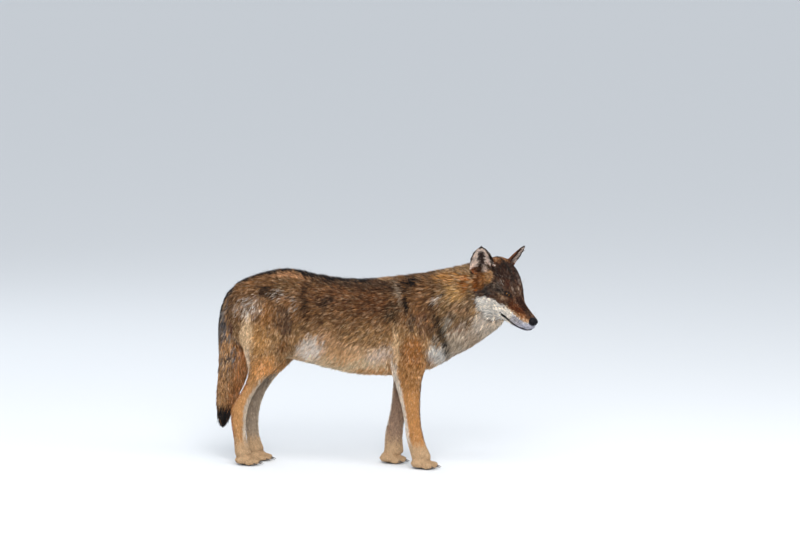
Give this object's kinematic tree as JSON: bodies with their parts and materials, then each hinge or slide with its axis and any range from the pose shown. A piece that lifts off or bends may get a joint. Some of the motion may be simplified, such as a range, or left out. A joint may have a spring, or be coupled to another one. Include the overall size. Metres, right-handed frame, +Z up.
{
  "type": "grey wolf, life-size standing model",
  "caption": "Life-size grey wolf in its winter coat, standing still on four feet with its head turned to its right and its tail hanging.",
  "frame": {"origin": "on the floor, under the middle of the animal's outer box", "axes": "+X the way the body faces, +Y to the animal's left, +Z up"},
  "size_m": [1.1596, 0.3254, 0.7934],
  "materials": {
    "coat_back": "long guard hairs, brown with black tips over a grey-buff underfur",
    "coat_ruff": "long soft hair, golden brown to grey, with dark tips",
    "coat_mask": "short dense hair, dark grey brow, rust muzzle and cream cheeks",
    "coat_chin": "short cream-white hair",
    "coat_tawny": "short close tawny hair",
    "coat_brush": "long bushy hair, grey-brown with dark tips",
    "coat_black": "long bushy black hair",
    "nose_pad": "bare pebbled skin, black, faintly wet",
    "eye_glass": "polished, amber iris with a round black pupil",
    "claw_horn": "smooth dark horn, faintly ridged"
  },
  "bodies": {
    "root": {"head": "coat_mask", "lower_jaw": "coat_chin", "nose": "nose_pad", "ear_right": "coat_mask", "ear_left": "coat_mask", "eye_right": "eye_glass", "eye_left": "eye_glass", "neck": "coat_ruff", "trunk": "coat_back", "tail": "coat_brush", "tail_tip": "coat_black", "foreleg_right_upper": "coat_back", "foreleg_right_lower": "coat_tawny", "forepaw_right": "coat_tawny", "foreclaw_right_1": "claw_horn", "foreclaw_right_2": "claw_horn", "foreclaw_right_3": "claw_horn", "foreclaw_right_4": "claw_horn", "foreleg_left_upper": "coat_back", "foreleg_left_lower": "coat_tawny", "forepaw_left": "coat_tawny", "foreclaw_left_1": "claw_horn", "foreclaw_left_2": "claw_horn", "foreclaw_left_3": "claw_horn", "foreclaw_left_4": "claw_horn", "hindleg_right_upper": "coat_back", "hindleg_right_lower": "coat_tawny", "hindpaw_right": "coat_tawny", "hindclaw_right_1": "claw_horn", "hindclaw_right_2": "claw_horn", "hindclaw_right_3": "claw_horn", "hindclaw_right_4": "claw_horn", "hindleg_left_upper": "coat_back", "hindleg_left_lower": "coat_tawny", "hindpaw_left": "coat_tawny", "hindclaw_left_1": "claw_horn", "hindclaw_left_2": "claw_horn", "hindclaw_left_3": "claw_horn", "hindclaw_left_4": "claw_horn"}
  },
  "joints": []
}
